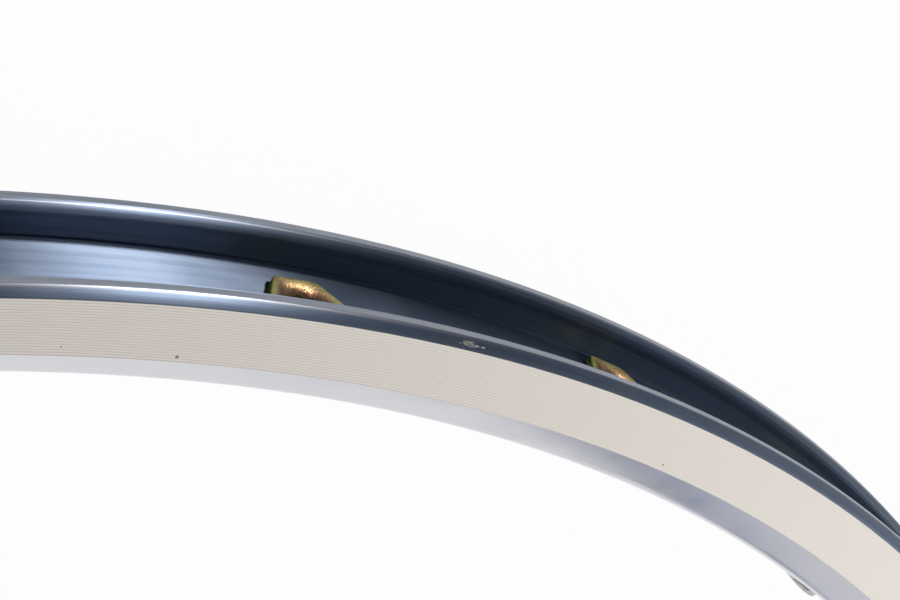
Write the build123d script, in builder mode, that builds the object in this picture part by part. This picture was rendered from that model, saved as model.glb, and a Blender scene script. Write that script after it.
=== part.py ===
from build123d import *

import os
from math import cos, degrees, radians, sin, tan

# Double-wall clincher rim for a road bicycle wheel. It lies flat: the wheel axis is +Z, the origin is the
# wheel centre, the valve hole is at -Y and the butt joint of the rolled hoop is at +Y. Sizes in millimetres.

# Tyre side of the section
bead_seat_diameter = 622.0
flange_height = 6.0
inner_width = 15.0
outer_width = 21.0
flange_wall = 1.7
lip_bevel = 1.7
hook_thickness = 1.5
hook_drop = 2.8
ledge_width = 0.4
well_depth = 0.5
well_side_run = 0.3

# Brake track and hub side of the section
rim_depth = 16.0
track_height = 8.4
side_slope = 35.0
spoke_bed_bevel = 1.6

# Walls of the hollow box
bed_wall = 1.1
side_wall = 1.4
spoke_bed_wall = 1.5

# Spoke holes
spoke_count = 32
spoke_stagger = 1.2
nipple_hole_diameter = 4.5

# Double eyelets: a hexagonal flange on the tyre bed and a socket that ties the two walls together
eyelet_across_flats = 12.2
eyelet_stand_out = 1.15
socket_across_flats = 8.0

# Valve hole
valve_hole_diameter = 6.5

# Sleeve that joins the two ends of the hoop inside the box, between the eyelets on either side
sleeve_end_gap = 2.4
sleeve_clearance = 0.2

bead_seat_radius = bead_seat_diameter / 2
flange_radius = bead_seat_radius + flange_height
bed_radius = bead_seat_radius - well_depth
track_low_radius = flange_radius - lip_bevel - track_height
spoke_bed_radius = flange_radius - rim_depth

half_width = outer_width / 2
lip_z = inner_width / 2
flange_wall_z = half_width - flange_wall
ledge_z = flange_wall_z - ledge_width
bed_z = ledge_z - well_side_run
slope_run = tan(radians(side_slope))
spoke_bed_z = half_width - (track_low_radius - spoke_bed_radius) * slope_run

roof_radius = bed_radius - bed_wall
floor_radius = spoke_bed_radius + spoke_bed_wall

spoke_pitch = 360 / spoke_count
first_spoke = -90 + spoke_pitch / 2


def radial_plane(angle, radius, height=0):
    """Plane that faces outward from the wheel axis, at an angle in degrees, a radius and a height."""
    out = Vector(cos(radians(angle)), sin(radians(angle)), 0)
    along = Vector(-sin(radians(angle)), cos(radians(angle)), 0)
    return Plane(origin=out * radius + Vector(0, 0, height), x_dir=along, z_dir=out)


def section_plane(angle):
    """Plane through the wheel axis at an angle in degrees: its X is the radius and its Y is the height."""
    out = Vector(cos(radians(angle)), sin(radians(angle)), 0)
    return Plane(origin=(0, 0, 0), x_dir=out, z_dir=(sin(radians(angle)), -cos(radians(angle)), 0))


def half_box(gap):
    """Upper half of the hollow box in the section, drawn a gap inside its roof, floor and side walls."""
    wall = side_wall + gap
    roof = roof_radius - gap
    floor = floor_radius + gap
    wall_z = half_width - wall
    bend_radius = track_low_radius + (wall / cos(radians(side_slope)) - wall) / slope_run
    floor_z = wall_z - (bend_radius - floor) * slope_run
    return Polyline(
        (roof, 0),
        (roof, wall_z),
        (bend_radius, wall_z),
        (floor, floor_z),
        (floor, 0),
        close=True,
    )


# One double eyelet, with its flange's face on the XY plane and the spoke hole along Z
socket_length = bed_radius + eyelet_stand_out - spoke_bed_radius - spoke_bed_wall / 2
with BuildPart() as double_eyelet:
    with BuildSketch(Plane.XY):
        RegularPolygon(radius=eyelet_across_flats / 2, side_count=6, major_radius=False)
    extrude(amount=-eyelet_stand_out - bed_wall / 2)
    with BuildSketch(Plane.XY):
        RegularPolygon(radius=socket_across_flats / 2, side_count=6, major_radius=False)
    extrude(amount=-socket_length)

# The spokes go to the two hub flanges in turn, so the eyelets lie to either side of the mid-plane in turn
eyelet_planes = []
for n in range(spoke_count):
    side = 1 if n % 2 else -1
    eyelet_planes.append(
        radial_plane(first_spoke + spoke_pitch * n, bed_radius + eyelet_stand_out, side * spoke_stagger)
    )

# Rim hoop: one extruded section with hooked flanges, tyre bed, brake tracks and box, rolled round and joined.
# The eyelets are riveted through both walls, so they are one with the hoop.
with BuildPart() as rim_hoop:
    with BuildSketch(Plane.XZ) as section:
        with BuildLine():
            Polyline(
                (bed_radius, 0),
                (bed_radius, bed_z),
                (bead_seat_radius, ledge_z),
                (bead_seat_radius, flange_wall_z),
                (flange_radius - hook_drop, flange_wall_z),
                (flange_radius - hook_thickness, lip_z),
                (flange_radius, lip_z),
                (flange_radius, half_width),
                (track_low_radius, half_width),
                (spoke_bed_radius, spoke_bed_z),
                (spoke_bed_radius, 0),
                close=True,
            )
        make_face()
        corners = section.vertices()
        chamfer(corners.sort_by_distance((flange_radius, half_width))[0], length=lip_bevel)
        corners = section.vertices()
        chamfer(corners.sort_by_distance((spoke_bed_radius, spoke_bed_z))[0], length=spoke_bed_bevel)
        with BuildLine():
            half_box(0)
        make_face(mode=Mode.SUBTRACT)
        mirror(about=Plane.XZ)
    revolve(axis=Axis.Z)
    with Locations(*eyelet_planes):
        add(double_eyelet.part)
    with Locations(*eyelet_planes):
        Hole(radius=nipple_hole_diameter / 2, depth=2 * rim_depth)
    with Locations(radial_plane(-90, flange_radius)):
        Hole(radius=valve_hole_diameter / 2, depth=2 * rim_depth)

# Joint sleeve: a plug that fits inside the box, half of it in each end of the hoop
box_radius = (floor_radius + roof_radius) / 2
socket_across_corners = socket_across_flats / cos(radians(30))
sleeve_arc = spoke_pitch - degrees((socket_across_corners + 2 * sleeve_end_gap) / box_radius)
with BuildPart() as joint_sleeve:
    with BuildSketch(section_plane(90 - sleeve_arc / 2)):
        with BuildLine():
            half_box(sleeve_clearance)
        make_face()
        mirror(about=Plane.XZ)
    revolve(axis=Axis.Z, revolution_arc=sleeve_arc)

os.makedirs("parts", exist_ok=True)

rim_hoop.part.label = "rim_hoop"
export_step(rim_hoop.part, "parts/rim_hoop.step")

joint_sleeve.part.label = "joint_sleeve"
export_step(joint_sleeve.part, "parts/joint_sleeve.step")
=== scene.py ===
"""Bicycle rim on a plain floor: blue anodised hoop, turned brake tracks, gold chromated spoke eyelets."""

from __future__ import annotations

import logging
import math
from dataclasses import dataclass, field
from enum import Enum
from functools import partial
from typing import Any, Mapping, Sequence

import bpy
from mathutils import Matrix, Vector

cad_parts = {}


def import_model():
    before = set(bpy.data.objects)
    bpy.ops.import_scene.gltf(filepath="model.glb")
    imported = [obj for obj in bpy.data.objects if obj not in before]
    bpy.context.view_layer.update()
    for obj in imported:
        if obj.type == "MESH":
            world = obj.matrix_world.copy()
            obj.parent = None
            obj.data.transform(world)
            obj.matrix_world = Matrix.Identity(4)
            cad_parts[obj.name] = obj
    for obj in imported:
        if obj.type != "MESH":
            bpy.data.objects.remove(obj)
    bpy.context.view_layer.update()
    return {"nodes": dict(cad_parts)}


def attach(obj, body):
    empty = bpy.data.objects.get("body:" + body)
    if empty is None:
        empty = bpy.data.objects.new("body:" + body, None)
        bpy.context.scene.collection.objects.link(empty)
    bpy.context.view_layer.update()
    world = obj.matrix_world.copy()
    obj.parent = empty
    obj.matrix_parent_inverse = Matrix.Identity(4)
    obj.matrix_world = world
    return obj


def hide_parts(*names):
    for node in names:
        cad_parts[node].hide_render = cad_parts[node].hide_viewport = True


LOG = logging.getLogger("bicycle_rim")
MM = 0.001

# Names of the hoop's UV map and of the cups' attribute
SURFACE_LENGTHS = "along_across"
DISH = "dish"

# Corners round a hole, and cells along each side of the square patch that surrounds it
RING = 24
PATCH = 6

# Degrees that one side of a hexagon takes
HEX_SIDE = 60.0

# Size in millimetres that leaves the unused third axis of a UV map as it is
NO_DEPTH = 1000.0

# Scale at which the Wave node draws one band to each unit
WAVE_UNIT = math.pi / 10

# Anisotropic rotation that spreads a highlight across the draw lines
QUARTER_TURN = 0.25

# Setting and sockets of a Mix node for colours
COLOURS = {"data_type": "RGBA"}
SHARE, BASE, OVER, MIXED = 0, 6, 7, 2

# Point or direction in space, point of the section, and corner of a face with its lengths along and across
Place = tuple[float, float, float]
SectionPoint = tuple[float, float]
FaceCorner = tuple[int, float, float]


class Zone(Enum):
    """Finish of a strip of the hoop's section, by its material slot."""

    ANODISED = 0
    TURNED = 1
    LOWER_SIDE = 2
    LIP_EDGE = 3


class Skin(Enum):
    """Skin of the hoop that the spoke holes and the valve hole go through."""

    BED = "bed"
    ROOF = "roof"
    FLOOR = "floor"
    SPOKE_BED = "spoke_bed"


def linear(hex_colour: str) -> tuple[float, float, float, float]:
    """Turns an sRGB hex value into a linear colour.

    Args:
        hex_colour: Six hex digits.

    Returns:
        Linear red, green and blue, and an alpha of 1.
    """
    channels = [int(hex_colour[i : i + 2], 16) / 255 for i in (0, 2, 4)]
    red, green, blue = (c / 12.92 if c <= 0.04045 else ((c + 0.055) / 1.055) ** 2.4 for c in channels)
    return (red, green, blue, 1.0)


def per_mm(*sizes: float) -> Place:
    """Mapping scale that makes one unit of a pattern as long as each size.

    Args:
        sizes: One size for all axes, or three, in millimetres.

    Returns:
        Scale for coordinates in metres.
    """
    x, y, z = sizes if len(sizes) == 3 else sizes * 3
    return (1 / (x * MM), 1 / (y * MM), 1 / (z * MM))


def add_node(
    tree: bpy.types.NodeTree,
    kind: str,
    settings: Mapping[str, Any] | None = None,
    inputs: Mapping[str | int, Any] | None = None,
    stops: Sequence[tuple[float, str]] = (),
) -> bpy.types.Node:
    """Adds one node with its settings, values and links.

    Args:
        tree: Node tree that takes the node.
        kind: Blender's name for the node type.
        settings: Node properties by name.
        inputs: By the input's name or number, a value, an output to link, or a node to link by its first output.
        stops: Places and hex colours of a colour ramp. The first two take over the ramp's own stops.

    Returns:
        The new node.
    """
    node = tree.nodes.new(kind)
    for name, value in (settings or {}).items():
        setattr(node, name, value)
    for key, value in (inputs or {}).items():
        source = value.outputs[0] if isinstance(value, bpy.types.Node) else value
        if isinstance(source, bpy.types.NodeSocket):
            tree.links.new(source, node.inputs[key])
        else:
            node.inputs[key].default_value = source
    for number, (place, colour) in enumerate(stops):
        elements = node.color_ramp.elements
        stop = elements[number] if number < 2 else elements.new(place)
        stop.position = place
        stop.color = linear(colour)
    return node


def new_material(name: str) -> tuple[bpy.types.Material, bpy.types.NodeTree]:
    """Makes an empty node material.

    Args:
        name: The real material and how its surface was made.

    Returns:
        The material and its cleared node tree.
    """
    material = bpy.data.materials.new(name)
    material.use_nodes = True
    material.node_tree.nodes.clear()
    return material, material.node_tree


@dataclass(frozen=True)
class Relief:
    """Fine relief of a surface: how much it shows and its depth in millimetres."""

    strength: float
    depth: float

    def dress(
        self,
        tree: bpy.types.NodeTree,
        height: bpy.types.Node,
        metal: Mapping[str, Any],
    ) -> None:
        """Ends a material in a metal surface with this relief.

        Args:
            tree: Node tree of the material.
            height: Pattern that the relief follows.
            metal: Inputs of the metal surface, by name.
        """
        add = partial(add_node, tree)
        bump = add(
            "ShaderNodeBump",
            inputs={"Height": height, "Strength": self.strength, "Distance": self.depth * MM},
        )
        surface = add("ShaderNodeBsdfPrincipled", inputs={"Metallic": 1.0, "Normal": bump, **metal})
        add("ShaderNodeOutputMaterial", inputs={"Surface": surface})


@dataclass(frozen=True)
class WearSpot:
    """Small damage or dirt at a place on the hoop, in millimetres, with the colour that it lays bare."""

    place: Place
    reach: float
    colour: str


@dataclass(frozen=True)
class AnodisedFinish:
    """Aluminium, drawn, polished lightly along the hoop and anodised. Sizes in millimetres."""

    name: str
    dark: str
    light: str
    smudge: str
    roughness: float
    brushed: float
    coat: float
    coat_roughness: float
    streak_length: float = 60.0
    streak_width: float = 0.35
    smudge_size: float = 14.0
    smudge_share: float = 0.35
    chip_width: float = 0.3
    chip_grain: float = 5.0
    relief: Relief = Relief(0.25, 0.02)
    chips: tuple[WearSpot, ...] = ()

    def material(self) -> bpy.types.Material:
        """Builds the finish.

        The dye under a clear oxide gives a dark metal colour. Fine draw lines run along the hoop, so a light
        shows as a short patch that spreads across all faces, and handling leaves duller, paler smudges.

        Returns:
            The new material.
        """
        material, tree = new_material(self.name)
        add = partial(add_node, tree)
        lengths = add("ShaderNodeUVMap", {"uv_map": SURFACE_LENGTHS})
        place = add("ShaderNodeTexCoord").outputs["Object"]
        along = add(
            "ShaderNodeMapping",
            inputs={"Vector": lengths, "Scale": per_mm(self.streak_length, self.streak_width, NO_DEPTH)},
        )
        streaks = add("ShaderNodeTexNoise", inputs={"Vector": along, "Scale": 1.0, "Detail": 3.0})
        blot = add("ShaderNodeMapping", inputs={"Vector": place, "Scale": per_mm(self.smudge_size)})
        smudges = add("ShaderNodeTexNoise", inputs={"Vector": blot, "Scale": 1.0, "Detail": 4.0})
        dye = add(
            "ShaderNodeValToRGB", inputs={"Fac": streaks}, stops=((0.25, self.dark), (0.75, self.light))
        )
        share = add(
            "ShaderNodeMapRange",
            inputs={"Value": smudges, "From Min": 0.52, "From Max": 0.8, "To Max": self.smudge_share},
        )
        colour = add(
            "ShaderNodeMix", COLOURS, {SHARE: share, BASE: dye, OVER: linear(self.smudge)}
        ).outputs[MIXED]
        for chip in self.chips:
            colour = self.chipped(tree, place, colour, chip)
        rough = add(
            "ShaderNodeMapRange",
            inputs={
                "Value": smudges,
                "From Min": 0.3,
                "From Max": 0.75,
                "To Min": self.roughness - 0.04,
                "To Max": self.roughness + 0.08,
            },
        )
        drawn = add("ShaderNodeTangent", {"direction_type": "UV_MAP", "uv_map": SURFACE_LENGTHS})
        metal = {
            "Base Color": colour,
            "Roughness": rough,
            "Anisotropic": self.brushed,
            "Anisotropic Rotation": QUARTER_TURN,
            "Coat Weight": self.coat,
            "Coat Roughness": self.coat_roughness,
            "Tangent": drawn,
        }
        self.relief.dress(tree, streaks, metal)
        return material

    def chipped(
        self,
        tree: bpy.types.NodeTree,
        place: bpy.types.NodeSocket,
        colour: bpy.types.NodeSocket,
        chip: WearSpot,
    ) -> bpy.types.NodeSocket:
        """Scratches the dye off around one place, so that bare metal shows in broken lines along the hoop.

        Args:
            tree: Node tree of the finish.
            place: Object coordinates.
            colour: Colour of the whole finish.
            chip: Where the damage is and how far it reaches.

        Returns:
            The colour with the damage.
        """
        add = partial(add_node, tree)
        x, y, _ = chip.place
        long = chip.reach * MM
        local = add(
            "ShaderNodeMapping",
            {"vector_type": "TEXTURE"},
            {
                "Vector": place,
                "Location": tuple(value * MM for value in chip.place),
                "Rotation": (0.0, 0.0, math.atan2(y, x)),
                "Scale": (self.chip_width * long, long, self.chip_width * long),
            },
        )
        away = add("ShaderNodeVectorMath", {"operation": "LENGTH"}, {0: local})
        near = add(
            "ShaderNodeMapRange",
            inputs={"Value": away.outputs["Value"], "From Min": 0.3, "To Min": 0.34, "To Max": -0.3},
        )
        grain = add(
            "ShaderNodeTexNoise", inputs={"Vector": local, "Scale": self.chip_grain, "Detail": 4.0}
        )
        total = add("ShaderNodeMath", {"operation": "ADD"}, {0: near, 1: grain})
        mask = add("ShaderNodeMapRange", inputs={"Value": total, "From Min": 0.72, "From Max": 0.82})
        return add(
            "ShaderNodeMix", COLOURS, {SHARE: mask, BASE: colour, OVER: linear(chip.colour)}
        ).outputs[MIXED]


@dataclass(frozen=True)
class TurnedFinish:
    """Bare aluminium, cut with a single-point tool after anodising. Sizes in millimetres."""

    name: str = "turned_bare_aluminium"
    # The two band colours: the darker one is painted shade of the groove valleys, the lighter one painted light
    # on the crests
    valley_shade: str = "DAD4CB"
    crest: str = "F3EEE7"
    roughness: float = 0.55
    spread: float = 0.08
    groove_pitch: float = 0.42
    run_length: float = 180.0
    waver: float = 0.8
    speck_cover: float = 0.85
    relief: Relief = Relief(0.3, 0.02)
    specks: tuple[WearSpot, ...] = ()

    def material(self) -> bpy.types.Material:
        """Builds the finish.

        Each turn of the tool leaves a fine groove. Bands at the groove pitch are painted darker and lighter,
        painted shade in the valleys and painted light on the crests, so the track is a warm matt grey with close
        lines along the hoop.

        Returns:
            The new material.
        """
        material, tree = new_material(self.name)
        add = partial(add_node, tree)
        lengths = add("ShaderNodeUVMap", {"uv_map": SURFACE_LENGTHS})
        place = add("ShaderNodeTexCoord").outputs["Object"]
        along = add(
            "ShaderNodeMapping",
            inputs={"Vector": lengths, "Scale": per_mm(self.run_length, self.groove_pitch, NO_DEPTH)},
        )
        lines = add(
            "ShaderNodeTexWave",
            {"wave_type": "BANDS", "bands_direction": "Y"},
            {
                "Vector": along,
                "Scale": WAVE_UNIT,
                "Distortion": self.waver,
                "Detail": 2.0,
                "Detail Scale": 1.5,
            },
        )
        # Painted shade and light: bands darker for the groove valleys, lighter for the crests
        colour = add(
            "ShaderNodeValToRGB", inputs={"Fac": lines}, stops=((0.0, self.valley_shade), (0.6, self.crest))
        ).outputs[0]
        for speck in self.specks:
            centre = tuple(value * MM for value in speck.place)
            away = add("ShaderNodeVectorMath", {"operation": "DISTANCE"}, {0: place, 1: centre})
            mask = add(
                "ShaderNodeMapRange",
                inputs={
                    "Value": away.outputs["Value"],
                    "From Min": 0.5 * speck.reach * MM,
                    "From Max": speck.reach * MM,
                    "To Min": self.speck_cover,
                    "To Max": 0.0,
                },
            )
            colour = add(
                "ShaderNodeMix", COLOURS, {SHARE: mask, BASE: colour, OVER: linear(speck.colour)}
            ).outputs[MIXED]
        rough = add(
            "ShaderNodeMapRange",
            inputs={
                "Value": lines,
                "To Min": self.roughness - self.spread,
                "To Max": self.roughness + self.spread,
            },
        )
        self.relief.dress(tree, lines, {"Base Color": colour, "Roughness": rough})
        return material


@dataclass(frozen=True)
class ChromatedFinish:
    """Pressed steel, zinc plated and passivated gold. Sizes in millimetres."""

    name: str = "gold_chromated_pressed_steel"
    # The first three colours darken down the dish towards the hole: painted shade in the cup
    deep: str = "160B05"
    wall: str = "33200F"
    shoulder: str = "4C382F"
    rim: str = "8C9066"
    # The outer edge's green-gold is partly the film's colour and partly a painted highlight
    edge: str = "B0D05C"
    pink: str = "855A52"
    green: str = "6A724C"
    hue_share: float = 0.45
    film_shift: float = 0.12
    roughness: float = 0.36
    edge_dullness: float = 0.15
    blotch: float = 1.3
    grain: float = 0.35
    relief: Relief = Relief(0.7, 0.08)

    def material(self) -> bpy.types.Material:
        """Builds the finish.

        The thin chromate film shifts from brown to pink, gold and green with its thickness, most of all at
        the edges, over a bright metal. Down the dish the colour is painted darker to near black at the hole, as
        painted shade in the cup, and the green-gold outer edge is partly a painted highlight. Its grain is drawn
        coarser than the real one, so that it shows.

        Returns:
            The new material.
        """
        material, tree = new_material(self.name)
        add = partial(add_node, tree)
        place = add("ShaderNodeTexCoord").outputs["Object"]
        depth = add("ShaderNodeAttribute", {"attribute_name": DISH}).outputs["Fac"]
        coarse = add("ShaderNodeMapping", inputs={"Vector": place, "Scale": per_mm(self.blotch)})
        clouds = add("ShaderNodeTexNoise", inputs={"Vector": coarse, "Scale": 1.0, "Detail": 4.0})
        fine = add("ShaderNodeMapping", inputs={"Vector": place, "Scale": per_mm(self.grain)})
        grain = add("ShaderNodeTexNoise", inputs={"Vector": fine, "Scale": 1.0, "Detail": 2.0})
        shift = add(
            "ShaderNodeMapRange",
            inputs={"Value": clouds, "To Min": -self.film_shift, "To Max": self.film_shift},
        )
        film = add("ShaderNodeMath", {"operation": "ADD"}, {0: depth, 1: shift})
        # Colour by place in the dish: painted shade darkening towards the hole, and a green-gold outer edge that
        # is partly a painted highlight
        dish_shade_and_highlight = add(
            "ShaderNodeValToRGB",
            inputs={"Fac": film},
            stops=(
                (0.02, self.deep),
                (1.0, self.edge),
                (0.3, self.wall),
                (0.6, self.shoulder),
                (0.88, self.rim),
            ),
        )
        hue = add("ShaderNodeValToRGB", inputs={"Fac": grain}, stops=((0.42, self.pink), (0.58, self.green)))
        colour = add(
            "ShaderNodeMix", COLOURS, {SHARE: self.hue_share, BASE: dish_shade_and_highlight, OVER: hue}
        ).outputs[MIXED]
        rough = add(
            "ShaderNodeMapRange",
            inputs={"Value": grain, "To Min": self.roughness - 0.08, "To Max": self.roughness + 0.1},
        )
        dull = add(
            "ShaderNodeMapRange",
            inputs={"Value": depth, "From Min": 0.55, "From Max": 0.95, "To Max": self.edge_dullness},
        )
        rough = add("ShaderNodeMath", {"operation": "ADD"}, {0: rough, 1: dull})
        self.relief.dress(tree, grain, {"Base Color": colour, "Roughness": rough})
        return material


@dataclass(frozen=True)
class PlainMetalFinish:
    """Bare or plated metal with a fine grain. Sizes in millimetres."""

    name: str
    dark: str
    light: str
    roughness: float
    grain: Place
    spread: float = 0.06
    relief: Relief = Relief(0.2, 0.02)

    def material(self) -> bpy.types.Material:
        """Builds the finish.

        The grain of the press, or of the die it was drawn through, breaks up a plain grey shine.

        Returns:
            The new material.
        """
        material, tree = new_material(self.name)
        add = partial(add_node, tree)
        place = add("ShaderNodeTexCoord").outputs["Object"]
        scaled = add("ShaderNodeMapping", inputs={"Vector": place, "Scale": per_mm(*self.grain)})
        grain = add("ShaderNodeTexNoise", inputs={"Vector": scaled, "Scale": 1.0, "Detail": 3.0})
        colour = add(
            "ShaderNodeValToRGB", inputs={"Fac": grain}, stops=((0.3, self.dark), (0.7, self.light))
        )
        rough = add(
            "ShaderNodeMapRange",
            inputs={
                "Value": grain,
                "To Min": self.roughness - self.spread,
                "To Max": self.roughness + self.spread,
            },
        )
        self.relief.dress(tree, grain, {"Base Color": colour, "Roughness": rough})
        return material


class SurfaceMesh:
    """Collects the points and faces of one mesh, with the surface lengths at each corner."""

    def __init__(self) -> None:
        """Starts with nothing."""
        self.points: list[Place] = []
        self.faces: list[tuple[int, ...]] = []
        self.slots: list[int] = []
        self.lengths: list[float] = []

    def point(self, x: float, y: float, z: float) -> int:
        """Adds a point.

        Args:
            x: First coordinate in millimetres.
            y: Second coordinate in millimetres.
            z: Third coordinate in millimetres.

        Returns:
            The point's number.
        """
        self.points.append((x * MM, y * MM, z * MM))
        return len(self.points) - 1

    def face(self, corners: Sequence[FaceCorner], zone: Zone = Zone.ANODISED) -> None:
        """Adds a face.

        Args:
            corners: Point numbers with lengths in millimetres, counter-clockwise from outside.
            zone: Finish of the face.
        """
        self.faces.append(tuple(corner[0] for corner in corners))
        self.slots.append(zone.value)
        for _, along, across in corners:
            self.lengths += (along * MM, across * MM)

    def mesh(self, name: str, materials: Sequence[bpy.types.Material], sharp: float) -> bpy.types.Mesh:
        """Makes the Blender mesh.

        Args:
            name: The mesh's name.
            materials: Materials in the order of the zones.
            sharp: Angle in degrees from which an edge stays sharp.

        Returns:
            A smooth-shaded mesh with its surface lengths as a UV map.
        """
        mesh = bpy.data.meshes.new(name)
        mesh.from_pydata(self.points, [], self.faces)
        for material in materials:
            mesh.materials.append(material)
        mesh.polygons.foreach_set("material_index", self.slots)
        mesh.polygons.foreach_set("use_smooth", [True] * len(self.faces))
        layer = mesh.uv_layers.new(name=SURFACE_LENGTHS)
        layer.data.foreach_set("uv", self.lengths)
        mesh.update()
        mesh.set_sharp_from_angle(angle=math.radians(sharp))
        return mesh


@dataclass(frozen=True)
class Corner:
    """Corner of the half section: radius and height, rounding, its arc's steps and the finish after it."""

    radius: float
    height: float
    rounding: float = 0.0
    steps: int = 1
    zone: Zone = Zone.ANODISED

    def arc(self, before: Corner, after: Corner) -> list[SectionPoint]:
        """Rounds the corner.

        Args:
            before: Corner before this one.
            after: Corner after this one.

        Returns:
            Points from the rounding's start to its end, or the bare corner.
        """
        if not self.rounding:
            return [(self.radius, self.height)]
        here = Vector((self.radius, self.height))
        back = (Vector((before.radius, before.height)) - here).normalized()
        ahead = (Vector((after.radius, after.height)) - here).normalized()
        half = back.angle(ahead) / 2
        start = here + back * (self.rounding / math.tan(half))
        centre = here + (back + ahead).normalized() * (self.rounding / math.sin(half))
        spoke = start - centre
        turn = math.pi - 2 * half
        if back.x * ahead.y - back.y * ahead.x > 0:
            turn = -turn
        points = []
        for step in range(self.steps + 1):
            angle = turn * step / self.steps
            cosine, sine = math.cos(angle), math.sin(angle)
            out = centre.x + spoke.x * cosine - spoke.y * sine
            points.append((out, centre.y + spoke.x * sine + spoke.y * cosine))
        return points


@dataclass(frozen=True)
class Loop:
    """Closed line round the section: points, finish of each edge, and where its two flat skins start."""

    points: tuple[SectionPoint, ...]
    zones: tuple[Zone, ...]
    starts: Mapping[Skin, int]

    def across(self) -> list[float]:
        """Length from the first point to each point, and to the first one again, in millimetres."""
        lengths = [0.0]
        for number, here in enumerate(self.points):
            there = self.points[(number + 1) % len(self.points)]
            lengths.append(lengths[-1] + math.dist(here, there))
        return lengths

    def inset(self, number: int, depth: float) -> SectionPoint:
        """Moves a point into the metal, square to its two edges.

        Args:
            number: The point's place in the loop.
            depth: How far, in millimetres.

        Returns:
            Radius and height of the moved point.
        """
        before = Vector(self.points[number - 1])
        here = Vector(self.points[number])
        after = Vector(self.points[(number + 1) % len(self.points)])
        way = (here - before).normalized() + (after - here).normalized()
        moved = here + Vector((-way.y, way.x)).normalized() * depth
        return (moved.x, moved.y)


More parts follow.
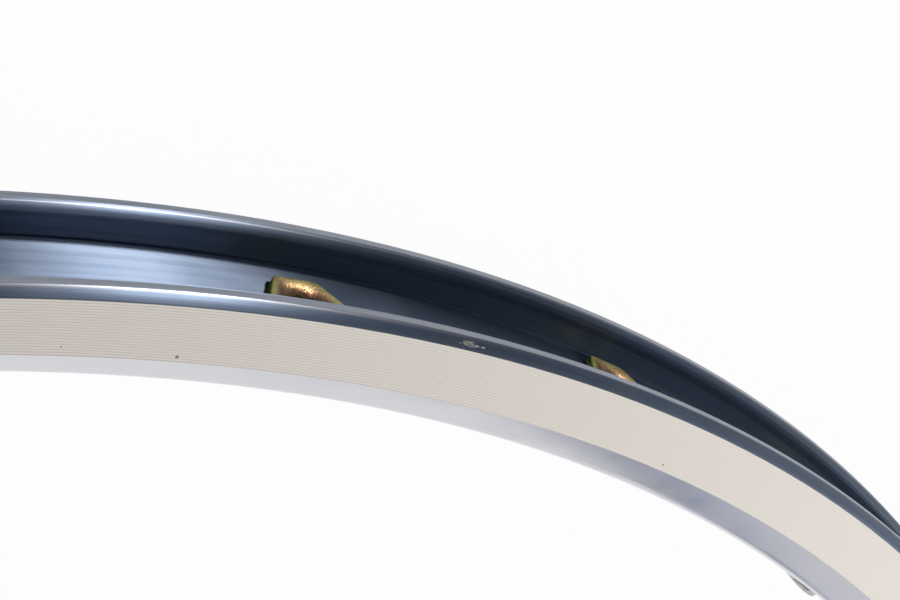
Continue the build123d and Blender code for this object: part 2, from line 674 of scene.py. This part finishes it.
@dataclass(frozen=True)
class RimSection:
    """Section of the rim in millimetres: the source's sizes, with the photo's roundings and round slope.

    The bulge is the bend in the middle of the sloping side, whose wide rounding makes it slightly convex.
    """

    bed_radius: float = 310.5
    bead_seat_radius: float = 311.0
    flange_radius: float = 316.85
    spoke_bed_radius: float = 301.0
    half_width: float = 10.5
    bed_edge: float = 8.35
    ledge_edge: float = 8.4
    ledge_rounding: float = 0.22
    inner_rounding: float = 0.1
    wall_height: float = 8.8
    lip_height: float = 7.5
    lip_rounding: float = 0.8
    hook_drop: float = 2.8
    hook_rounding: float = 0.6
    hook_thickness: float = 1.5
    hook_edge_rounding: float = 0.3
    bevel_height: float = 9.5
    bevel_radius: float = 316.328
    bevel_rounding: float = 1.75
    bevel_edge_rounding: float = 0.25
    track_low: float = 306.9
    bulge_radius: float = 304.562
    bulge_height: float = 8.977
    bulge_rounding: float = 170.0
    spoke_bed_edge: float = 6.52
    spoke_bed_rounding: float = 2.4
    groove_count: int = 20
    groove_depth: float = 0.025
    groove_flat: tuple[float, float] = (0.3, 0.7)
    roof_radius: float = 309.4
    floor_radius: float = 302.5
    box_wall: float = 9.1
    box_bend: float = 307.341
    box_floor_edge: float = 5.71

    def half(self) -> tuple[list[SectionPoint], list[Zone]]:
        """Upper side of the section, from the tyre bed's edge round the flange to the spoke bed's edge.

        Returns:
            Points as radius and height, and the finish of each edge between them.
        """
        flange = self.flange_radius
        corners = (
            Corner(self.bed_radius, 0.0),
            Corner(self.bed_radius, self.bed_edge, self.inner_rounding, 2),
            Corner(self.bead_seat_radius, self.ledge_edge, self.ledge_rounding, 4),
            Corner(self.bead_seat_radius, self.wall_height, self.inner_rounding, 2),
            Corner(flange - self.hook_drop, self.wall_height, self.hook_rounding, 3),
            Corner(flange - self.hook_thickness, self.lip_height, self.hook_edge_rounding, 3),
            Corner(flange, self.lip_height, self.lip_rounding, 5, Zone.LIP_EDGE),
            Corner(flange, self.bevel_height, self.bevel_edge_rounding, 2),
            Corner(self.bevel_radius, self.half_width, self.bevel_rounding, 7, Zone.TURNED),
            Corner(self.track_low, self.half_width, 0.0, 1, Zone.LOWER_SIDE),
            Corner(self.bulge_radius, self.bulge_height, self.bulge_rounding, 5, Zone.LOWER_SIDE),
            Corner(self.spoke_bed_radius, self.spoke_bed_edge, self.spoke_bed_rounding, 7),
            Corner(self.spoke_bed_radius, 0.0),
        )
        points: list[SectionPoint] = []
        zones: list[Zone] = []
        zone = Zone.ANODISED
        for before, corner, after in zip(corners, corners[1:], corners[2:]):
            arc = corner.arc(before, after)
            if zone is Zone.TURNED:
                grooves = self.grooves(points[-1][0])
                points += grooves
                zones += [Zone.TURNED] * len(grooves)
            if points:
                zones.append(zone)
            points += arc
            bend = Zone.LOWER_SIDE if zone is Zone.LOWER_SIDE else Zone.ANODISED
            zones += [bend] * (len(arc) - 1)
            zone = corner.zone
        return points, zones

    def grooves(self, top: float) -> list[SectionPoint]:
        """Turned grooves of the brake track.

        Args:
            top: Radius at which the track starts.

        Returns:
            Points between the track's two edges, as radius and height.
        """
        pitch = (top - self.track_low) / self.groove_count
        low = self.half_width - self.groove_depth
        points = []
        for groove in range(self.groove_count):
            crest = top - groove * pitch
            points += [(crest - share * pitch, low) for share in self.groove_flat]
            if groove < self.groove_count - 1:
                points.append((crest - pitch, self.half_width))
        return points

    def outside(self) -> Loop:
        """Line round the outside of the section, from the tyre bed's lower edge."""
        side, zones = self.half()
        bed_edge, spoke_edge = side[0][1], side[-1][1]
        bed = [(self.bed_radius, bed_edge * (2 * row / PATCH - 1)) for row in range(PATCH)]
        spoke_bed = [(self.spoke_bed_radius, spoke_edge * (1 - 2 * row / PATCH)) for row in range(1, PATCH)]
        mirrored = [(radius, -height) for radius, height in reversed(side)]
        flat = [Zone.ANODISED] * PATCH
        lower = [Zone.LOWER_SIDE] * PATCH
        return Loop(
            tuple(bed + side + spoke_bed + mirrored[:-1]),
            tuple(flat + zones + lower + zones[::-1]),
            {Skin.BED: 0, Skin.SPOKE_BED: PATCH + len(side) - 1},
        )

    def inside(self) -> Loop:
        """Line round the hollow box, from the upper end of its roof, so that its faces look into it."""
        shares = [2 * row / PATCH - 1 for row in range(PATCH + 1)]
        roof = [(self.roof_radius, -self.box_wall * share) for share in shares]
        floor = [(self.floor_radius, self.box_floor_edge * share) for share in shares]
        points = roof + [(self.box_bend, -self.box_wall)] + floor + [(self.box_bend, self.box_wall)]
        return Loop(
            tuple(points),
            tuple([Zone.ANODISED] * len(points)),
            {Skin.ROOF: 0, Skin.FLOOR: PATCH + 2},
        )


@dataclass(frozen=True)
class HubwardHole:
    """Hole through both walls towards the hub: its angle and height, and its radius in the two walls."""

    angle: float
    height: float
    bed_radius: float
    spoke_bed_radius: float

    def radius(self, skin: Skin) -> float:
        """Radius of the hole in a skin, in millimetres."""
        return self.bed_radius if skin in (Skin.BED, Skin.ROOF) else self.spoke_bed_radius


@dataclass
class RimHoop:
    """Rolled and joined hoop: one mesh of outer skin, hollow box, holes and the butt joint's hairline."""

    section: RimSection = field(default_factory=RimSection)
    spoke_count: int = 32
    spoke_stagger: float = 1.2
    eyelet_hole_radius: float = 4.2
    ferrule_hole_radius: float = 2.9
    valve_hole_radius: float = 3.25
    valve_angle: float = -90.0
    joint_angle: float = 90.0
    joint_gap: float = 0.012
    joint_depth: float = 0.07
    columns: int = 384
    sharp: float = 30.0

    def holes(self) -> list[HubwardHole]:
        """Spoke holes, to either side of the mid-plane in turn, and the valve hole between two of them."""
        pitch = 360 / self.spoke_count
        found = [HubwardHole(self.valve_angle, 0.0, self.valve_hole_radius, self.valve_hole_radius)]
        for n in range(self.spoke_count):
            angle = self.valve_angle + pitch * (n + 0.5)
            height = self.spoke_stagger if n % 2 else -self.spoke_stagger
            found.append(HubwardHole(angle, height, self.eyelet_hole_radius, self.ferrule_hole_radius))
        return found

    def stations(self) -> list[float]:
        """Angles of the rings in degrees from the butt joint, with one ring close to it on either side."""
        step = 360 / self.columns
        even = [step * n for n in range(1, self.columns)]
        return [0.0, self.joint_gap] + even + [360 - self.joint_gap, 360.0]

    def place(self, radius: float, turn: float, height: float) -> Place:
        """Point on the hoop.

        Args:
            radius: Distance from the wheel axis in millimetres.
            turn: Angle in degrees from the butt joint.
            height: Height over the mid-plane in millimetres.

        Returns:
            Coordinates in millimetres.
        """
        angle = math.radians(self.joint_angle + turn)
        return (radius * math.cos(angle), radius * math.sin(angle), height)

    def build(self, materials: Sequence[bpy.types.Material]) -> bpy.types.Object:
        """Builds the hoop.

        Args:
            materials: Materials in the order of the zones.

        Returns:
            The hoop's object.
        """
        surface = SurfaceMesh()
        rings: dict[tuple[int, Skin], dict[int, FaceCorner]] = {}
        holes = self.holes()
        self.skin(surface, self.section.outside(), holes, rings, self.joint_depth)
        self.skin(surface, self.section.inside(), holes, rings, 0.0)
        for number in range(len(holes)):
            self.bore(surface, rings[number, Skin.BED], rings[number, Skin.ROOF])
            self.bore(surface, rings[number, Skin.FLOOR], rings[number, Skin.SPOKE_BED])
        mesh = surface.mesh("rim_hoop_dressed", materials, self.sharp)
        piece = bpy.data.objects.new("rim_hoop_dressed", mesh)
        bpy.context.scene.collection.objects.link(piece)
        return piece

    def skin(
        self,
        surface: SurfaceMesh,
        loop: Loop,
        holes: Sequence[HubwardHole],
        rings: dict[tuple[int, Skin], dict[int, FaceCorner]],
        joint_depth: float,
    ) -> None:
        """Sweeps one closed line round the wheel axis and leaves the holes open.

        Args:
            surface: Mesh that takes the faces.
            loop: Line round the section.
            holes: Holes through the walls.
            rings: Filled with the corners round each hole, by hole and skin.
            joint_depth: Depth of the hairline at the butt joint in millimetres.
        """
        turns = self.stations()
        across = loop.across()
        count = len(loop.points)
        numbers: dict[tuple[int, int], int] = {}
        reference = self.section.bed_radius

        def corner(row: int, column: int) -> FaceCorner:
            """Corner at a row of the section and a ring of the hoop, made when first used."""
            key = (row % count, column % (len(turns) - 1))
            if key not in numbers:
                at_joint = key[1] == 0 and joint_depth
                radius, height = loop.inset(key[0], joint_depth) if at_joint else loop.points[key[0]]
                numbers[key] = surface.point(*self.place(radius, turns[key[1]], height))
            return (numbers[key], math.radians(turns[column]) * reference, across[row])

        skipped: set[tuple[int, int]] = set()
        for number, hole in enumerate(holes):
            middle = round(((hole.angle - self.joint_angle) % 360) / (360 / self.columns)) + 1
            first = middle - PATCH // 2
            for skin, start in loop.starts.items():
                skipped |= {(start + i, first + j) for i in range(PATCH) for j in range(PATCH)}
                border = (
                    [corner(start, first + j) for j in range(PATCH)]
                    + [corner(start + i, first + PATCH) for i in range(PATCH)]
                    + [corner(start + PATCH, first + PATCH - j) for j in range(PATCH)]
                    + [corner(start + PATCH - i, first) for i in range(PATCH)]
                )
                rings[number, skin] = self.open_patch(surface, loop, skin, hole, border, across[start])
        for column in range(len(turns) - 1):
            for row in range(count):
                if (row, column) in skipped:
                    continue
                lower = (corner(row, column), corner(row, column + 1))
                upper = (corner(row + 1, column + 1), corner(row + 1, column))
                surface.face(lower + upper, loop.zones[row])

    def open_patch(
        self,
        surface: SurfaceMesh,
        loop: Loop,
        skin: Skin,
        hole: HubwardHole,
        border: Sequence[FaceCorner],
        base: float,
    ) -> dict[int, FaceCorner]:
        """Fills a patch of a flat skin round one hole.

        Args:
            surface: Mesh that takes the faces.
            loop: Line round the section.
            skin: Skin that the patch is in.
            hole: The hole.
            border: Corners round the patch, counter-clockwise from outside.
            base: Length across at the patch's first row in millimetres.

        Returns:
            The hole's corners by their place round its axis.
        """
        start = loop.starts[skin]
        radius, first_height = loop.points[start]
        up = 1 if loop.points[start + 1][1] > first_height else -1
        zone = loop.zones[start]
        reach = hole.radius(skin)
        ring: dict[int, FaceCorner] = {}
        order = []
        # The border starts at the patch's corner, five eighths of a turn from the first place of the ring
        lead = RING * 5 // 8
        for step in range(RING):
            angle = math.tau * (step + lead) / RING
            sideways = reach * math.cos(angle)
            height = hole.height + up * reach * math.sin(angle)
            turn = (hole.angle - self.joint_angle) % 360 + math.degrees(math.asin(sideways / radius))
            number = surface.point(*self.place(radius, turn, height))
            along = math.radians(turn) * self.section.bed_radius
            order.append((number, along, base + abs(height - first_height)))
            ring[up * (step + lead) % RING] = order[-1]
        for step in range(RING):
            after = (step + 1) % RING
            surface.face((border[step], border[after], order[after], order[step]), zone)
        return ring

    def bore(
        self, surface: SurfaceMesh, outer: Mapping[int, FaceCorner], inner: Mapping[int, FaceCorner]
    ) -> None:
        """Joins a hole's two rings by its wall.

        Args:
            surface: Mesh that takes the faces.
            outer: Corners of the ring further from the wheel axis.
            inner: Corners of the ring nearer to it.
        """
        for step in range(RING):
            after = (step + 1) % RING
            surface.face((outer[step], outer[after], inner[after], inner[step]))


@dataclass(frozen=True)
class LatheRing:
    """One ring of an eyelet part: size across flats, height over the tyre bed, how hexagonal it is."""

    across: float
    height: float
    hexagonal: float = 0.0


@dataclass
class EyeletPart:
    """Part of the double eyelet, made of rings and repeated round the hoop by Geometry Nodes."""

    name: str
    rings: tuple[LatheRing, ...]
    hole_across: float
    edge_across: float
    points: int = 48
    corner_reach: float = 1.125
    sharp: float = 60.0

    def mesh(self) -> bpy.types.Mesh:
        """Builds one closed part with its axis along Z and the bed at the origin.

        Returns:
            The mesh, with a dish attribute that goes from 0 at the hole to 1 at the outer edge.
        """
        vertices: list[Place] = []
        dish: list[float] = []
        for ring in self.rings:
            for step in range(self.points):
                angle = 2 * math.pi * step / self.points
                off_flat = math.radians(math.degrees(angle) % HEX_SIDE - HEX_SIDE / 2)
                hexagon = min(1 / math.cos(off_flat), self.corner_reach)
                reach = ring.across / 2 * (1 + ring.hexagonal * (hexagon - 1)) * MM
                vertices.append((reach * math.cos(angle), reach * math.sin(angle), ring.height * MM))
                share = (ring.across - self.hole_across) / (self.edge_across - self.hole_across)
                dish.append(min(1.0, max(0.0, share)))
        faces = []
        for number in range(len(self.rings)):
            here = number * self.points
            there = (number + 1) % len(self.rings) * self.points
            for step in range(self.points):
                after = (step + 1) % self.points
                faces.append((here + step, here + after, there + after, there + step))
        mesh = bpy.data.meshes.new(self.name)
        mesh.from_pydata(vertices, [], faces)
        mesh.attributes.new(DISH, "FLOAT", "POINT").data.foreach_set("value", dish)
        mesh.polygons.foreach_set("use_smooth", [True] * len(faces))
        mesh.update()
        mesh.set_sharp_from_angle(angle=math.radians(self.sharp))
        return mesh


@dataclass
class SpokeEyelets:
    """The 32 double eyelets: a dished cup with a hexagonal flange, and an end at the spoke bed."""

    count: int = 32
    bed_radius: float = 310.5
    first_angle: float = -84.375
    stagger: float = 1.2
    flange_across: float = 12.2
    stand_out: float = 1.15
    bore_across: float = 4.5
    end_across: float = 7.6
    spoke_bed_wall: float = 1.5
    spoke_bed_depth: float = 9.5
    end_stand_out: float = 1.15

    def cup(self) -> EyeletPart:
        """Dished cup: flange wall, rounded edge, dish, deep wall, and its back inside the hollow box."""
        flange = self.flange_across
        top = self.stand_out
        floor = -self.spoke_bed_depth + self.spoke_bed_wall
        rings = (
            LatheRing(flange - 0.1, -0.2, 1.0),
            LatheRing(flange, top - 0.35, 1.0),
            LatheRing(flange - 0.08, top - 0.16, 1.0),
            LatheRing(flange - 0.3, top - 0.04, 1.0),
            LatheRing(flange - 0.6, top, 1.0),
            LatheRing(flange - 1.4, top - 0.03, 0.9),
            LatheRing(flange - 2.3, top - 0.16, 0.7),
            LatheRing(flange - 3.2, top - 0.42, 0.45),
            LatheRing(flange - 4.0, top - 0.82, 0.25),
            LatheRing(flange - 4.7, top - 1.35, 0.1),
            LatheRing(flange - 5.3, top - 2.1),
            LatheRing(flange - 5.8, top - 3.1),
            LatheRing(flange - 6.2, top - 4.4),
            LatheRing(flange - 6.4, floor + 1.2),
            LatheRing(self.bore_across + 0.5, floor + 0.35),
            LatheRing(self.bore_across, floor + 0.2),
            LatheRing(self.bore_across, floor),
            LatheRing(flange - 5.6, floor),
            LatheRing(flange - 5.2, floor + 1.0),
            LatheRing(flange - 5.0, -2.0),
            LatheRing(flange - 4.2, -0.5),
        )
        return EyeletPart("eyelet_cups", rings, self.bore_across, self.flange_across)

    def end(self) -> EyeletPart:
        """Hub-side end: a plated ferrule, rolled over the edge of the hole in the spoke bed."""
        face = -self.spoke_bed_depth
        tip = face - self.end_stand_out
        wide = self.end_across
        rings = (
            LatheRing(self.bore_across, face + 1.6),
            LatheRing(self.bore_across, tip + 0.35),
            LatheRing(self.bore_across + 0.2, tip + 0.1),
            LatheRing(self.bore_across + 0.6, tip),
            LatheRing(self.bore_across + 1.1, tip + 0.05),
            LatheRing(wide - 0.45, tip + 0.3),
            LatheRing(wide - 0.1, tip + 0.8),
            LatheRing(wide, face + 0.05),
            LatheRing(wide - 0.9, face + 0.1),
            LatheRing(wide - 0.9, face + 1.6),
        )
        return EyeletPart("eyelet_ends", rings, self.bore_across, self.end_across)

    def tree(self) -> bpy.types.NodeTree:
        """Geometry Nodes tree that sets one part at every spoke hole, facing out, to either side in turn."""
        tree = bpy.data.node_groups.new("parts_at_spoke_holes", "GeometryNodeTree")
        kinds = {
            "Geometry": "NodeSocketGeometry",
            "Count": "NodeSocketInt",
            "Bed Radius": "NodeSocketFloat",
            "First Angle": "NodeSocketFloat",
            "Stagger": "NodeSocketFloat",
            "Material": "NodeSocketMaterial",
        }
        for name, kind in kinds.items():
            tree.interface.new_socket(name, in_out="INPUT", socket_type=kind)
        tree.interface.new_socket("Geometry", in_out="OUTPUT", socket_type=kinds["Geometry"])
        add = partial(add_node, tree)
        given = add("NodeGroupInput").outputs
        index = add("GeometryNodeInputIndex")
        pitch = add("ShaderNodeMath", {"operation": "DIVIDE"}, {0: math.tau, 1: given["Count"]})
        angle = add(
            "ShaderNodeMath", {"operation": "MULTIPLY_ADD"}, {0: index, 1: pitch, 2: given["First Angle"]}
        )
        flat = []
        for operation in ("COSINE", "SINE"):
            share = add("ShaderNodeMath", {"operation": operation}, {0: angle})
            flat.append(
                add("ShaderNodeMath", {"operation": "MULTIPLY"}, {0: share, 1: given["Bed Radius"]})
            )
        turn = add("ShaderNodeMath", {"operation": "MODULO"}, {0: index, 1: 2.0})
        side = add("ShaderNodeMath", {"operation": "MULTIPLY_ADD"}, {0: turn, 1: 2.0, 2: -1.0})
        rise = add("ShaderNodeMath", {"operation": "MULTIPLY"}, {0: side, 1: given["Stagger"]})
        place = add("ShaderNodeCombineXYZ", inputs={0: flat[0], 1: flat[1], 2: rise})
        heading = add("ShaderNodeMath", {"operation": "ADD"}, {0: angle, 1: math.pi / 2})
        turns = add("ShaderNodeCombineXYZ", inputs={0: math.pi / 2, 1: 0.0, 2: heading})
        facing = add("FunctionNodeEulerToRotation", inputs={0: turns})
        spots = add("GeometryNodePoints", inputs={"Count": given["Count"], "Position": place})
        parts = add(
            "GeometryNodeInstanceOnPoints",
            inputs={"Points": spots, "Instance": given["Geometry"], "Rotation": facing},
        )
        real = add("GeometryNodeRealizeInstances", inputs={0: parts})
        dressed = add("GeometryNodeSetMaterial", inputs={"Geometry": real, "Material": given["Material"]})
        add("NodeGroupOutput", inputs={0: dressed})
        return tree

    def build(
        self, part: EyeletPart, tree: bpy.types.NodeTree, material: bpy.types.Material
    ) -> bpy.types.Object:
        """Repeats one part at every spoke hole and makes the result a plain mesh.

        Args:
            part: Part of the eyelet.
            tree: Tree that repeats it.
            material: Finish of the part.

        Returns:
            One object with all the parts.
        """
        piece = bpy.data.objects.new(part.name, part.mesh())
        bpy.context.scene.collection.objects.link(piece)
        modifier = piece.modifiers.new("spoke_holes", "NODES")
        modifier.node_group = tree
        values = {
            "Count": self.count,
            "Bed Radius": self.bed_radius * MM,
            "First Angle": math.radians(self.first_angle),
            "Stagger": self.stagger * MM,
            "Material": material,
        }
        for item in tree.interface.items_tree:
            if item.in_out == "INPUT" and item.name in values:
                modifier[item.identifier] = values[item.name]
        evaluated = piece.evaluated_get(bpy.context.evaluated_depsgraph_get())
        mesh = bpy.data.meshes.new_from_object(evaluated)
        piece.modifiers.remove(modifier)
        piece.data = mesh
        mesh.name = part.name
        return piece


@dataclass
class Studio:
    """Plain pale floor, soft studio light and the photograph's camera. Lengths in millimetres.

    The backdrop's stops go by height, 0 at the horizon and 1 overhead, its two ends first.
    """

    floor_height: float = -10.6
    floor_reach: float = 12000.0
    floor_colour: str = "FFFFFF"
    floor_glow: float = 0.97
    eye: Place = (13.25, 542.34, 281.02)
    forward: Place = (0.36574, -0.64994, -0.66619)
    up: Place = (0.24915, 0.75803, -0.60276)
    lens: float = 126.83
    sensor: float = 36.0
    aim: Place = (170.0, 265.0, 0.0)
    backdrop_way: Place = (0.174, -0.985, 0.0)
    backdrop_edge: float = 0.35
    backdrop: tuple[tuple[float, str], ...] = (
        (0.0, "7A90AF"),
        (1.0, "DCDCDE"),
        (0.03, "7A90AF"),
        (0.048, "E6E6EA"),
        (0.3, "FFFFFF"),
        (0.6, "F4F4F4"),
        (0.8, "B4B4B6"),
        (0.93, "505054"),
        (0.965, "DCDCDE"),
    )
    dim_side: tuple[tuple[float, str], ...] = ((0.93, "686C75"), (0.965, "DCDCDE"))
    lamp_distance: float = 1500.0
    key_way: Place = (0.79, 0.605, 0.1)
    key_size: float = 220.0
    key_power: float = 36.0
    key_colour: str = "FFEDDC"
    fill_way: Place = (0.56, -0.69, 0.46)
    fill_size: float = 500.0
    fill_power: float = 1.3
    fill_colour: str = "FFFFFF"

    def build(self) -> None:
        """Builds floor, world, lamps and camera."""
        self.floor()
        self.world()
        self.lamp("key_softbox", self.key_way, self.key_size, self.key_power, self.key_colour)
        self.lamp("fill_softbox", self.fill_way, self.fill_size, self.fill_power, self.fill_colour)
        self.camera()

    def floor(self) -> None:
        """Pale floor that is white to the eye and in reflections, and keeps the rim's shadow."""
        material, tree = new_material("pale_studio_floor")
        add = partial(add_node, tree)
        rays = add("ShaderNodeLightPath").outputs
        seen = add(
            "ShaderNodeMath", {"operation": "MAXIMUM"}, {0: rays["Is Camera Ray"], 1: rays["Is Glossy Ray"]}
        )
        seen = add("ShaderNodeMath", {"operation": "MAXIMUM"}, {0: seen, 1: rays["Is Transmission Ray"]})
        share = add("ShaderNodeMath", {"operation": "MULTIPLY"}, {0: seen, 1: self.floor_glow})
        matt = add("ShaderNodeBsdfDiffuse", inputs={"Color": linear(self.floor_colour)})
        white = add("ShaderNodeEmission", inputs={"Strength": 1.0})
        mixed = add("ShaderNodeMixShader", inputs={0: share, 1: matt, 2: white})
        add("ShaderNodeOutputMaterial", inputs={"Surface": mixed})
        reach = self.floor_reach * MM
        height = self.floor_height * MM
        ways = ((-1, -1), (1, -1), (1, 1), (-1, 1))
        mesh = bpy.data.meshes.new("studio_floor")
        mesh.from_pydata([(x * reach, y * reach, height) for x, y in ways], [], [(0, 1, 2, 3)])
        mesh.materials.append(material)
        floor = bpy.data.objects.new("studio_floor", mesh)
        bpy.context.scene.collection.objects.link(floor)

    def world(self) -> None:
        """Soft room: a pale backdrop with a blue-grey foot, a dim side behind the camera, a pale ceiling."""
        world = bpy.data.worlds.new("studio")
        world.use_nodes = True
        tree = world.node_tree
        tree.nodes.clear()
        add = partial(add_node, tree)
        way = add("ShaderNodeTexCoord").outputs["Generated"]
        height = add("ShaderNodeSeparateXYZ", inputs={0: way}).outputs["Z"]
        backdrop = add("ShaderNodeValToRGB", inputs={"Fac": height}, stops=self.backdrop)
        dim = add("ShaderNodeValToRGB", inputs={"Fac": height}, stops=self.dim_side)
        beyond = add("ShaderNodeVectorMath", {"operation": "DOT_PRODUCT"}, {0: way, 1: self.backdrop_way})
        share = add(
            "ShaderNodeMapRange",
            inputs={"Value": beyond.outputs["Value"], "From Min": 0.0, "From Max": self.backdrop_edge},
        )
        room = add("ShaderNodeMix", COLOURS, {SHARE: share, BASE: dim, OVER: backdrop})
        sky = add("ShaderNodeBackground", inputs={"Color": room.outputs[MIXED], "Strength": 1.0})
        add("ShaderNodeOutputWorld", inputs={"Surface": sky})
        bpy.context.scene.world = world

    def lamp(self, name: str, way: Place, size: float, power: float, colour: str) -> None:
        """Hangs a round softbox.

        Args:
            name: The lamp's name.
            way: Direction from the aim to the lamp.
            size: Width in millimetres.
            power: Power in watts.
            colour: Colour as sRGB hex.
        """
        data = bpy.data.lights.new(name, "AREA")
        data.shape = "DISK"
        data.size = size * MM
        data.energy = power
        data.color = linear(colour)[:3]
        lamp = bpy.data.objects.new(name, data)
        outward = Vector(way).normalized()
        lamp.location = (Vector(self.aim) + outward * self.lamp_distance) * MM
        lamp.rotation_euler = outward.to_track_quat("Z", "Y").to_euler()
        bpy.context.scene.collection.objects.link(lamp)

    def camera(self) -> None:
        """Camera at the photograph's place, direction, roll and focal length."""
        data = bpy.data.cameras.new("photo_camera")
        data.sensor_width = self.sensor
        data.sensor_fit = "HORIZONTAL"
        data.lens = self.lens
        data.clip_start = 0.01
        data.clip_end = 100.0
        back = -Vector(self.forward).normalized()
        right = Vector(self.up).cross(back).normalized()
        up = back.cross(right)
        turned = Matrix((right, up, back)).transposed().to_4x4()
        camera = bpy.data.objects.new("photo_camera", data)
        camera.matrix_world = Matrix.Translation(Vector(self.eye) * MM) @ turned
        bpy.context.scene.collection.objects.link(camera)
        bpy.context.scene.camera = camera


def dress_hoop() -> None:
    """Builds the hoop in its four finishes, with the wear that the photo shows, in place of the solid."""
    anodised = AnodisedFinish(
        "blue_anodised_aluminium",
        dark="3F4D62",
        light="4D5C72",
        smudge="6A7686",
        roughness=0.45,
        brushed=1.0,
        coat=0.45,
        coat_roughness=0.25,
        chips=(
            WearSpot((165.35, 269.52, 10.24), 3.2, "B4B5B0"),
            WearSpot((166.48, 268.71, 10.3), 1.0, "E8EAE8"),
            WearSpot((167.38, 268.17, 10.29), 0.95, "E8EAE8"),
        ),
    )
    turned = TurnedFinish(
        specks=(
            WearSpot((124.11, 281.54, 10.5), 0.32, "6B5844"),
            WearSpot((109.12, 288.28, 10.5), 0.16, "8A7B69"),
            WearSpot((197.83, 235.89, 10.5), 0.22, "8A7B69"),
        )
    )
    # Hub-facing slopes and spoke bed: the same blue anodised aluminium, with a pale lavender colour that is a
    # painted reflection of the white floor at a grazing angle
    lower = AnodisedFinish(
        "anodised_hub_side_painted_reflection",
        dark="C5C5CC",
        light="CBCBD1",
        smudge="CBCBD1",
        roughness=0.14,
        brushed=0.0,
        coat=0.2,
        coat_roughness=0.12,
    )
    # Flat tops of the flanges: the same blue anodised aluminium, painted grey as a painted reflection of the
    # white floor
    lip_top_reflection = AnodisedFinish(
        "anodised_lip_top_painted_reflection",
        dark="666D79",
        light="767D89",
        smudge="868C96",
        roughness=0.35,
        brushed=0.3,
        coat=0.0,
        coat_roughness=0.2,
    )
    hoop = RimHoop().build([finish.material() for finish in (anodised, turned, lower, lip_top_reflection)])
    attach(hoop, "root")
    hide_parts("rim_hoop")
    LOG.info("%s: %d faces", hoop.name, len(hoop.data.polygons))


def dress_eyelets() -> None:
    """Adds the cups and hub-side ends of the spoke eyelets."""
    eyelets = SpokeEyelets()
    tree = eyelets.tree()
    plated = PlainMetalFinish("nickel_plated_steel", "A9A8A6", "CFCECB", 0.32, (0.5, 0.5, 0.5))
    pairs = ((eyelets.cup(), ChromatedFinish().material()), (eyelets.end(), plated.material()))
    for part, material in pairs:
        piece = eyelets.build(part, tree, material)
        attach(piece, "root")
        LOG.info("%s: %d faces", piece.name, len(piece.data.polygons))


def dress_sleeve(node: bpy.types.Object) -> None:
    """Gives the hidden joint sleeve its finish.

    Args:
        node: The sleeve's solid.
    """
    finish = PlainMetalFinish("extruded_mill_aluminium", "A8A8A6", "C4C4C1", 0.42, (12.0, 0.4, 0.4))
    material = finish.material()
    node.data.materials.clear()
    node.data.materials.append(material)
    LOG.info("%s: %s", node.name, material.name)


def main() -> None:
    """Builds the rim's pieces in order."""
    logging.basicConfig(level=logging.INFO, format="%(name)s: %(message)s")
    scene = bpy.context.scene
    scene.view_settings.view_transform = "Standard"
    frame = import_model()
    Studio().build()
    dress_hoop()
    dress_eyelets()
    dress_sleeve(frame["nodes"]["joint_sleeve"])


if __name__ == "__main__":
    main()
